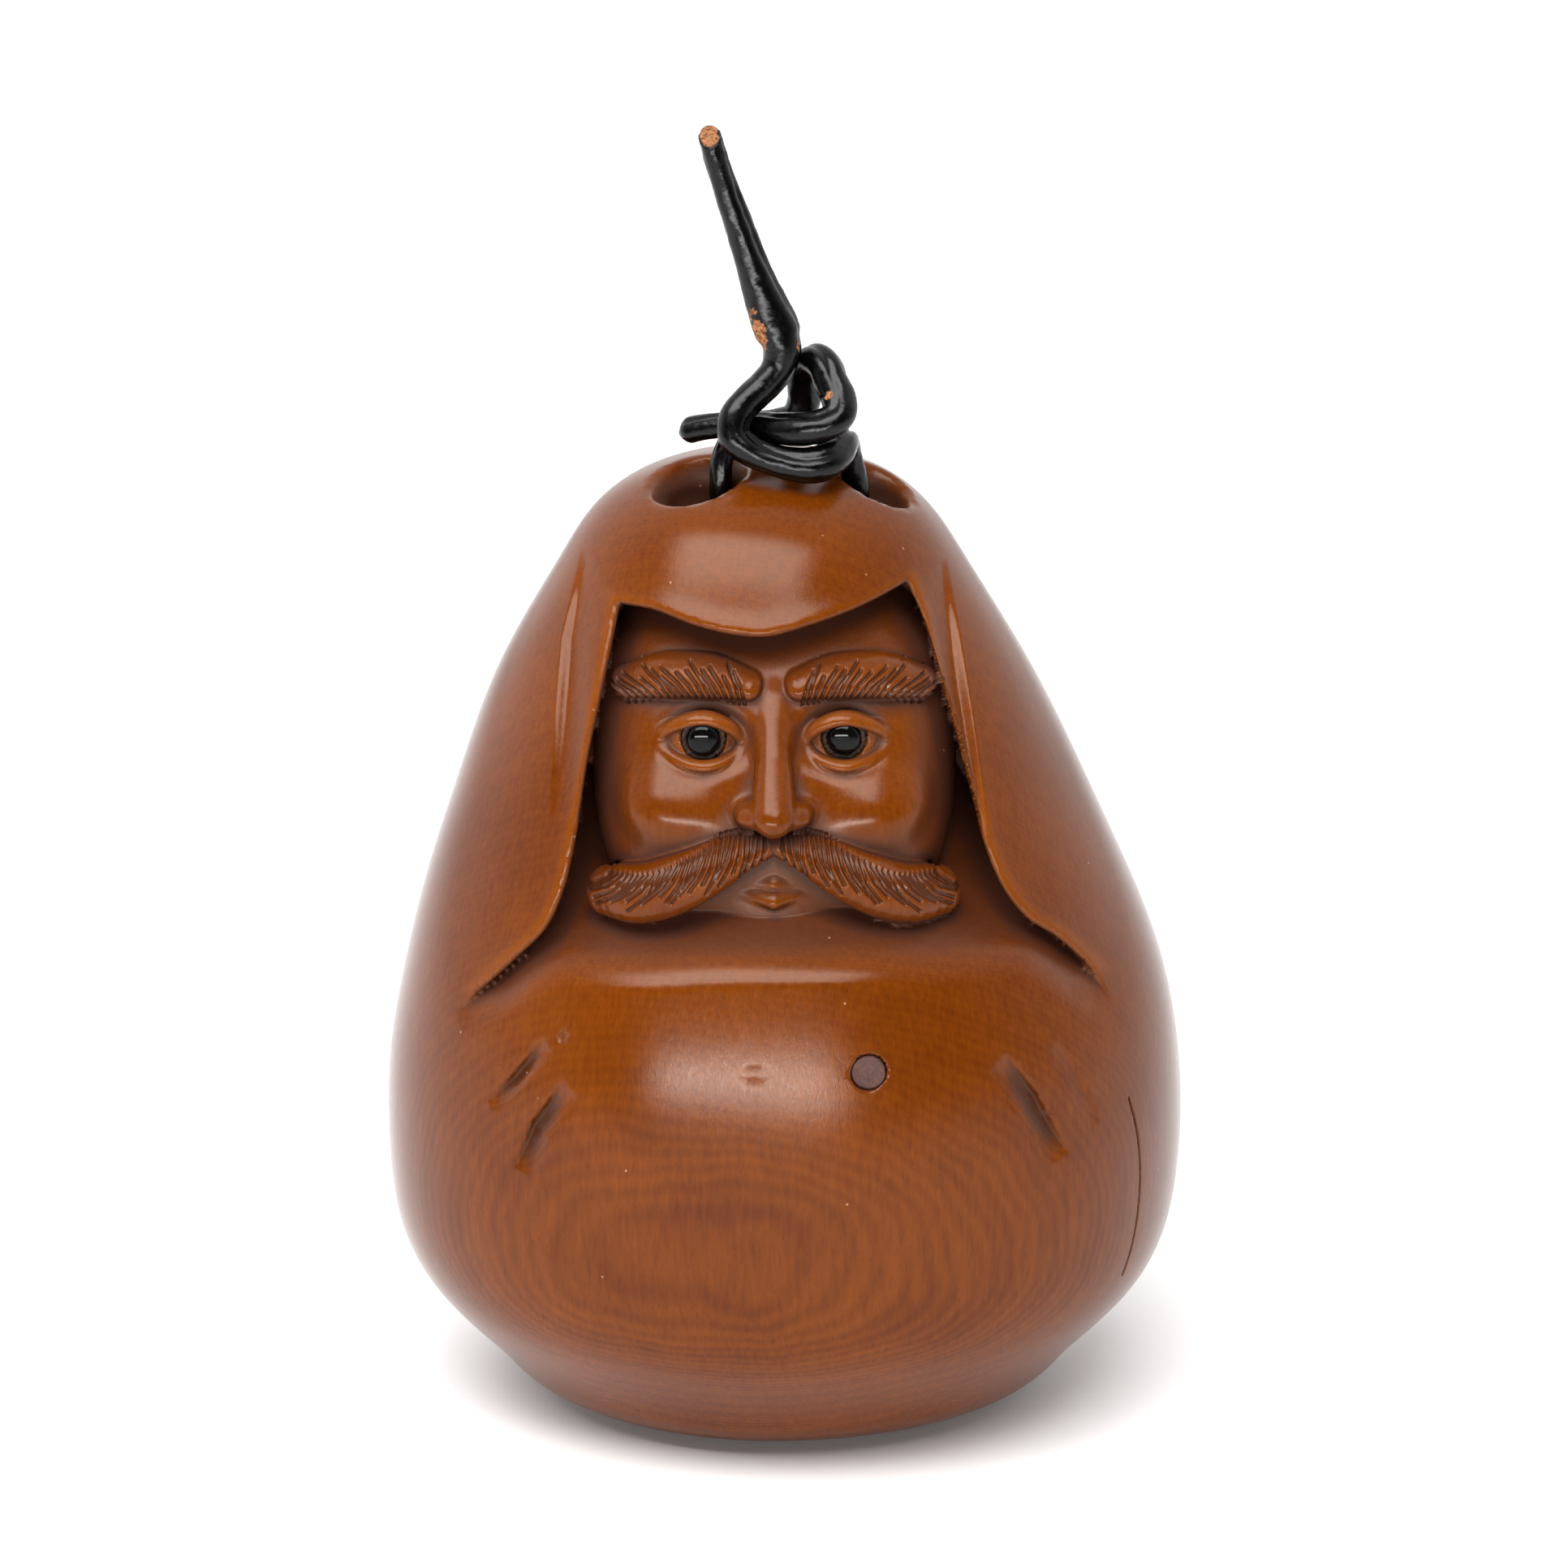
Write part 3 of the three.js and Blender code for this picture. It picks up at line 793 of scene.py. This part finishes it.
def wood_tone(n, place, cloud, grain):
    """How dark or pale the wood is, from growth rings about the trunk's middle, clouds and grain."""
    wander = n.noise(0.09, detail=2)
    axis = n.add("VectorMath", settings={"operation": "SUBTRACT"}, i0=place, i1=TRUNK_MIDDLE)
    x = n.add("SeparateXYZ", Vector=axis)
    y, z = x.node.outputs[1], x.node.outputs[2]
    tilted = n.maths("ADD", y, n.maths("MULTIPLY", z, 0.07))
    radius = n.maths("SQRT", n.maths("ADD", n.squared(x), n.squared(tilted)))
    radius = n.maths("ADD", radius, n.maths("MULTIPLY", wander, 0.8))
    rings = n.maths("SINE", n.maths("MULTIPLY", radius, RING_RATE))
    broad_rings = n.maths("SINE", n.maths("MULTIPLY", radius, BROAD_RING_RATE))
    tone = n.maths("ADD", n.maths("MULTIPLY", rings, 0.15), n.maths("MULTIPLY", broad_rings, 0.1))
    height = n.add("SeparateXYZ", Vector=place, use=2)
    tone = n.maths("MULTIPLY", tone, n.between(height, 14.0, 30.0, 1.0, 0.3))
    tone = n.maths("ADD", tone, n.between(cloud, 0.3, 0.7, -0.2, 0.2))
    return n.maths("ADD", tone, n.between(grain, 0.3, 0.7, -0.22, 0.22))


def boxwood():
    n = Nodes("boxwood")
    place = n.coordinates()
    cloud = n.noise(0.12, detail=3)
    grain = n.noise(3.2, detail=5, stretch=(1, 1, 0.16), roughness=0.6)
    fine = n.noise(9.0, detail=4, stretch=(1, 1, 0.25), roughness=0.7)
    flecks = n.noise(5.5, detail=3, stretch=(1, 1, 0.3), roughness=0.65)
    specks = n.add("TexVoronoi", Vector=place, Scale=0.33)
    colour = n.mix(n.between(wood_tone(n, place, cloud, grain), -0.55, 0.55), DARK_WOOD, PALE_WOOD)
    uneven = n.between(cloud, 0.3, 0.7, -0.05, 0.05)
    # Painted shade with stain: darker in hollows and, from the depth value, on the hood's floor and in the
    # cord's way.
    shade_and_stain = n.between(n.maths("ADD", n.value_of("hollow"), uneven), 0.1, 0.5)
    shade_and_stain = n.maths("MAXIMUM", shade_and_stain, n.maths("MULTIPLY", n.value_of("deep"), 0.66))
    colour = n.mix(shade_and_stain, colour, HOLLOW_SHADE_AND_STAIN)
    colour = n.mix(n.between(n.value_of("ink"), 0, 1, 0, 0.75), colour, CUT_STAIN)
    # Painted highlight with rubbed wear: raised edges made paler.
    colour = n.mix(n.between(n.value_of("edge"), 0.3, 0.85, 0, 0.35), colour, RUBBED_EDGE_AND_HIGHLIGHT)
    colour = n.mix(n.between(specks, 0.012, 0.03, 0.5, 0), colour, SPECK)
    colour = n.mix(n.between(flecks, 0.56, 0.7, 0, 0.35), colour, FLECK)
    relief = n.bump(grain, 0.15, 0.04, n.bump(fine, 0.2, 0.03))
    n.surface(Base_Color=colour, Normal=relief, IOR=1.5, Specular_IOR_Level=0.24,
              Specular_Tint=(1.0, 0.84, 0.72),
              Roughness=n.between(n.maths("ADD", fine, shade_and_stain), 0.3, 1.5, 0.11, 0.5))
    return n.material


def horn():
    n = Nodes("horn")
    cloud = n.between(n.noise(2.0), 0.4, 0.7)
    n.surface(Base_Color=n.mix(cloud, (0.001, 0.001, 0.001), (0.003, 0.0025, 0.002)),
              Roughness=n.between(n.noise(5.0), 0.3, 0.7, 0.03, 0.07), Specular_IOR_Level=0.18)
    return n.material


def lacquer():
    n = Nodes("lacquer")
    grains = n.noise(6.0, detail=4)
    colour = n.mix(n.between(grains, 0.42, 0.68), (0.009, 0.004, 0.0025), (0.05, 0.026, 0.015))
    n.surface(Base_Color=colour, Roughness=n.between(grains, 0.3, 0.7, 0.45, 0.8),
              Normal=n.bump(grains, 0.6, 0.08), Specular_IOR_Level=0.2)
    return n.material


def dowel_wood():
    n = Nodes("dowel_wood")
    pores = n.noise(7.0, detail=5, roughness=0.7)
    colour = n.mix(n.between(pores, 0.38, 0.66), (0.03, 0.009, 0.006), (0.1, 0.033, 0.02))
    n.surface(Base_Color=colour, Roughness=n.between(pores, 0.3, 0.7, 0.5, 0.75),
              Normal=n.bump(pores, 0.7, 0.08))
    return n.material


def leather():
    n = Nodes("leather")
    worn = n.maths("ADD", n.value_of("worn"), n.between(n.noise(2.5, detail=5), 0.3, 0.7, -0.35, 0.35))
    fibres = n.between(n.noise(6.0, detail=5), 0.35, 0.65)
    dye = n.between(n.noise(1.2, detail=3), 0.3, 0.7)
    tan = n.mix(fibres, (0.08, 0.028, 0.009), (0.36, 0.145, 0.055))
    black = n.mix(dye, (0.0004, 0.0004, 0.0005), (0.0015, 0.0013, 0.0013))
    share = n.between(worn, 0.45, 0.62)
    creases = n.noise(3.5, detail=5, roughness=0.65)
    roughness = n.between(creases, 0.3, 0.7, 0.1, 0.28)
    n.surface(Base_Color=n.mix(share, black, tan), Normal=n.bump(creases, 0.5, 0.035),
              Roughness=n.maths("ADD", roughness, n.maths("MULTIPLY", share, 0.45)),
              Specular_IOR_Level=0.26)
    return n.material


def pale_floor():
    n = Nodes("pale_floor")
    towards_back = n.add("SeparateXYZ", Vector=n.coordinates(), use=1)
    pale = n.between(towards_back, -260, -70, 0.45, 0.905)
    n.surface(Base_Color=n.add("CombineXYZ", X=pale, Y=pale, Z=pale), Roughness=0.7)
    return n.material


# ---- Camera, light and floor ----

ELEVATION = math.radians(18)
CAMERA_DISTANCE = 460.0
VIEW_WIDTH = 95.0
LOOK_AT = Vector((0, 0, 29.0))
AIM_RAISE = 8.5


def make_camera():
    up = Vector((0, math.sin(ELEVATION), math.cos(ELEVATION)))
    towards = Vector((0, -math.cos(ELEVATION), math.sin(ELEVATION)))
    place = LOOK_AT + CAMERA_DISTANCE * towards
    aim = LOOK_AT + AIM_RAISE * up
    data = bpy.data.cameras.new("camera")
    data.sensor_width = 36
    data.lens = 36 * CAMERA_DISTANCE / VIEW_WIDTH
    data.clip_start = 0.01
    camera = bpy.data.objects.new("camera", data)
    camera.location = place * MM
    camera.rotation_euler = (aim - place).to_track_quat("-Z", "Y").to_euler()
    bpy.context.scene.collection.objects.link(camera)
    bpy.context.scene.camera = camera


def add_softbox(name, place, aim, size, power):
    data = bpy.data.lights.new(name, "AREA")
    data.shape = "RECTANGLE"
    data.size, data.size_y = (s * MM for s in size)
    data.energy = power
    light = bpy.data.objects.new(name, data)
    light.location = Vector(place) * MM
    light.rotation_euler = (Vector(aim) - Vector(place)).to_track_quat("-Z", "Y").to_euler()
    bpy.context.scene.collection.objects.link(light)


def make_world():
    """A soft white surround, dim in front and bright behind."""
    world = bpy.data.worlds.new("studio")
    world.use_nodes = True
    bpy.context.scene.world = world
    tree = world.node_tree
    place = tree.nodes.new("ShaderNodeTexCoord")
    parts = tree.nodes.new("ShaderNodeSeparateXYZ")
    shade = tree.nodes.new("ShaderNodeMapRange")
    tree.links.new(place.outputs["Generated"], parts.inputs[0])
    tree.links.new(parts.outputs["Y"], shade.inputs["Value"])
    for name, value in (("From Min", -0.6), ("From Max", 0.35), ("To Min", 0.06), ("To Max", 1.35)):
        shade.inputs[name].default_value = value
    tree.links.new(shade.outputs[0], tree.nodes["Background"].inputs["Strength"])
    tree.nodes["Background"].inputs["Color"].default_value = (1, 1, 1, 1)


def make_floor():
    bm = bmesh.new()
    bmesh.ops.create_circle(bm, cap_ends=True, segments=96, radius=2.5)
    floor = mesh_from(bm, "floor")
    floor.materials.append(pale_floor())
    stage = bpy.data.objects.new("floor", floor)
    stage.location.z = -0.02 * MM
    bpy.context.scene.collection.objects.link(stage)


def make_studio():
    bpy.context.scene.view_settings.view_transform = "Standard"
    make_world()
    make_floor()
    add_softbox("overhead", (-110, -340, 590), (0, 0, 35), (740, 350), 7.3)
    add_softbox("front_strip", (-110, -620, 85), (0, 0, 27), (560, 60), 2.75)


# ---- Inlays ----

def join_rings(bm, rings):
    """Four-sided faces between each closed ring of points and the next one."""
    for ring, following in zip(rings[:-1], rings[1:]):
        for k in range(len(ring)):
            bm.faces.new((ring[k - 1], ring[k], following[k], following[k - 1]))


def turned_mesh(name, profile, segments, wobble):
    """A turned piece. Its profile is radius and distance along -Y, and both its ends are closed."""
    bm = bmesh.new()
    rings = []
    for radius, along in profile:
        ring = []
        for k in range(segments):
            angle = 2 * math.pi * k / segments
            place = Vector((radius * math.cos(angle), -along, radius * math.sin(angle)))
            place += wobble * noise.noise_vector(place * 4.5)
            ring.append(bm.verts.new(place))
        rings.append(ring)
    join_rings(bm, rings)
    bm.faces.new(rings[0])
    bm.faces.new(rings[-1][::-1])
    bmesh.ops.recalc_face_normals(bm, faces=bm.faces)
    return mesh_from(bm, name)


def turned_piece(name, node, profile, segments, wobble, sunk, material):
    """A turned piece in a CAD node's place, its zero plane sunk behind the node's foremost point."""
    mesh = turned_mesh(name, profile, segments, wobble)
    low, _, middle = box_of(node)
    for vert in mesh.vertices:
        vert.co = (vert.co + Vector((middle.x, low.y + sunk, middle.z))) * MM
    piece = new_object(name, mesh, material, "body")
    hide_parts(node)


def make_pupil(side, material):
    dome = [(PUPIL_RADIUS * math.cos(a), 0.12 + 0.42 * math.sin(a)) for a in np.linspace(0, 1.53, 14)]
    profile = [(0.01, -2.4), (0.5, -2.4), (0.52, -0.5), (PUPIL_RADIUS - 0.02, -0.35), *dome]
    turned_piece(side + "_eye_bead", side + "_pupil", profile, 40, 0.0, 0.55, material)


def make_bed(side, material):
    inner, outer = PUPIL_RADIUS + 0.01, BED_RADIUS - 0.02
    crown = [(outer - (outer - inner) * t, 0.1 * math.sin(math.pi * t)) for t in np.linspace(0, 1, 7)]
    profile = [(inner, -0.4), (outer, -0.4), *crown, (inner, -0.4)]
    turned_piece(side + "_lacquer_ring", side + "_pupil_bed", profile, 96, 0.07, 0.16, material)


def make_plug(material):
    face = [(PLUG_RADIUS * (1 - t), 0.015 * math.sin(9 * t)) for t in np.linspace(0.05, 0.98, 14)]
    profile = [(0.01, -3.9), (PLUG_RADIUS - 0.02, -3.9), (PLUG_RADIUS - 0.02, -0.05), *face]
    turned_piece("belly_dowel", "belly_plug", profile, 64, 0.02, 0.09, material)


# ---- The cord ----

# From the cut end on top, round the knot, through the crown and back to the tail: place and diameter.
CORD_ROUTE = [
    (-4.5, -2.2, 78.6, 1.5), (-3.6, -2.2, 75.6, 1.6), (-2.7, -2.3, 73, 1.8), (-1.85, -2.5, 70.5, 2),
    (-1.05, -2.7, 68.3, 2.2), (-0.45, -2.9, 66.8, 2.4), (-0.1, -3.05, 65.5, 2.3),
    (-0.35, -3.3, 64.4, 2), (-1.15, -3.7, 63.5, 1.9), (-2.1, -4.15, 62.7, 1.9),
    (-2.85, -4.65, 61.8, 1.9), (-2.85, -5.05, 60.75, 1.9), (-2, -5.3, 60, 1.9),
    (-0.8, -5.4, 59.5, 1.9), (0.4, -5.45, 59.2, 2.05), (1.6, -5.5, 59.15, 2.2),
    (2.5, -5.2, 59.3, 2.2), (3.15, -4.4, 59.65, 2), (3.5, -3.4, 60, 1.75), (3.65, -2.4, 59.8, 1.6),
    (3.85, -1.7, 58.9, 1.5), (4.15, -1.4, 57.5, 1.5), (4.3, -1.25, 56, 1.5),
    (3.6, -1.35, 54.7, 1.5), (2, -1.5, 53.85, 1.5), (0.2, -1.7, 53.5, 1.5), (-1.7, -1.9, 53.8, 1.5),
    (-3.15, -2.1, 54.8, 1.5), (-3.7, -2.2, 56.1, 1.5), (-3.75, -2.2, 57.5, 1.5),
    (-3.6, -1.95, 58.8, 1.5), (-2.9, -1.4, 59.9, 1.55), (-1.7, -0.6, 60.25, 1.7),
    (-0.4, -0.15, 60.3, 1.75), (0.7, -0.05, 60.7, 1.8), (1.2, -0.4, 61.8, 1.85),
    (1.2, -0.8, 63, 1.85), (1.35, -1.3, 64.1, 1.85), (1.8, -2.1, 64.7, 1.85),
    (2.35, -2.9, 64.5, 1.85), (2.75, -3.55, 63.7, 1.85), (3.2, -4.1, 62.85, 1.85),
    (3.2, -4.8, 62, 1.85), (2.3, -5.15, 61.45, 1.9), (1.1, -4.95, 61.2, 1.95),
    (-0.2, -4.35, 61.05, 1.8), (-1.5, -3.45, 61, 1.65), (-3, -2.8, 60.9, 1.5),
    (-4.6, -2.2, 60.6, 1.5), (-6.1, -1.6, 60.15, 1.5),
]
CORD_SIDES = 32
CORD_RINGS = 620
CUT_SLANT = 1.0                       # how far the knife ran down the front of the cut end

# Where the dye is rubbed off the leather: place and reach.
WORN_SPOTS = [
    ((-1.6, -3.3, 67.9), 0.7), ((-1.45, -3.6, 67.0), 0.8), ((-1.35, -3.7, 66.1), 0.8),
    ((1.0, -3.5, 65.8), 0.55), ((2.7, -4.6, 63.1), 0.55),
]
FRAY_START, FRAY_END = 7.0, 12.7      # along the cord, where its outer layer spreads and then stops


def evenly(points, count):
    lengths = np.r_[0, np.cumsum(np.linalg.norm(np.diff(points[:, :3], axis=0), axis=1))]
    at = np.linspace(0, lengths[-1], count)
    return np.column_stack([np.interp(at, lengths, column) for column in points.T]), lengths[-1]


def carried_frames(path):
    """Tangents and a side direction carried along a path without twist."""
    tangents = np.gradient(path, axis=0)
    tangents /= np.linalg.norm(tangents, axis=1)[:, None]
    sides = np.empty_like(path)
    side = np.cross(tangents[0], (0, 1, 0))
    for i, tangent in enumerate(tangents):
        side = side - tangent * (side @ tangent)
        side /= np.linalg.norm(side)
        sides[i] = side
    return tangents, sides


def cord_spread(s):
    """How much wider the cord is from side to side, by the distance along it."""
    return 0.3 * ramp(s, FRAY_START, FRAY_END - 0.4) * (1 - ramp(s, FRAY_END, FRAY_END + 0.8))


def leather_relief(s, angle, fold):
    """How far the leather stands out from its smooth shape: bumps, wrinkles and one long crease."""
    spot = Vector((0.55 * s, 1.5 * math.cos(angle), 1.5 * math.sin(angle)))
    bumps = 0.05 * noise.noise(spot) + 0.03 * noise.noise(spot * 2.7) + 0.012 * noise.noise(spot * 9)
    wrinkled = max(0, noise.noise(spot * 0.8 + Vector((7, 0, 0))))
    wrinkle = 0.02 * math.sin(23 * s + 3 * noise.noise(spot * 2)) * wrinkled
    crease = 0.16 * math.exp(-(fold / 0.2) ** 2)
    return bumps + wrinkle - crease


def make_cord(material):
    route, length = evenly(curve_through(CORD_ROUTE, 30), CORD_RINGS)
    path, radii = route[:, :3], route[:, 3] / 2
    tangents, sides = carried_frames(path)
    uprights = np.cross(tangents, sides)
    angles = np.arange(CORD_SIDES) * 2 * math.pi / CORD_SIDES
    bm = bmesh.new()
    rings = []
    for i, centre in enumerate(path):
        s = i / (CORD_RINGS - 1) * length
        turn = 0.035 * s + 0.4 * math.sin(0.31 * s)
        swell = 1 + 0.09 * ramp(centre[2], 59.6, 60.4) * ramp(s, FRAY_END, FRAY_END + 1)
        rounding = 0.12 * max(0.0, 1 - s / 0.14) ** 2 + 0.5 * max(0.0, 1 - (length - s) / 0.7) ** 2
        ring = []
        for angle in angles:
            out = math.cos(angle) * sides[i] + math.sin(angle) * uprights[i]
            fold = math.remainder(angle - turn, 2 * math.pi)
            radius = radii[i] * (swell - 0.035 - 0.06 * math.cos(2 * fold))
            radius += leather_relief(s, angle, fold) - rounding
            place = centre + out * radius
            place[0] += out[0] * radius * cord_spread(s)
            place += tangents[i] * CUT_SLANT * (0.5 - 0.5 * out[1]) * max(0.0, 1 - s / 2.2)
            ring.append(bm.verts.new(place))
        rings.append(ring)
    join_rings(bm, rings)
    for ring, flip in ((rings[0], 1), (rings[-1], -1)):
        face = bm.faces.new(ring[::flip])
        for inset in (0.12, 0.16, 0.16):
            bmesh.ops.inset_individual(bm, faces=[face], thickness=inset)
    bmesh.ops.recalc_face_normals(bm, faces=bm.faces)
    places = np.array([vert.co for vert in bm.verts])
    worn = np.zeros(len(places))
    for place, reach in WORN_SPOTS:
        away = np.linalg.norm((places - place) * (1, 1, 0.7), axis=1)
        worn = np.maximum(worn, 1 - ramp(away, 0.2 * reach, reach))
    cut_end = CORD_RINGS * CORD_SIDES
    worn[cut_end:cut_end + 3 * CORD_SIDES] = 1.3
    for vert in bm.verts:
        vert.co *= MM
    mesh = mesh_from(bm, "leather_cord")
    add_values(mesh, "worn", worn)
    cord = new_object("leather_cord", mesh, material, "cord")
    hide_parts("cord")


# ---- Assembly ----

make_camera()
make_cord(leather())
make_studio()
make_body(boxwood())
bead_finish, bed_finish = horn(), lacquer()
for side in ("left", "right"):
    make_pupil(side, bead_finish)
    make_bed(side, bed_finish)
make_plug(dowel_wood())
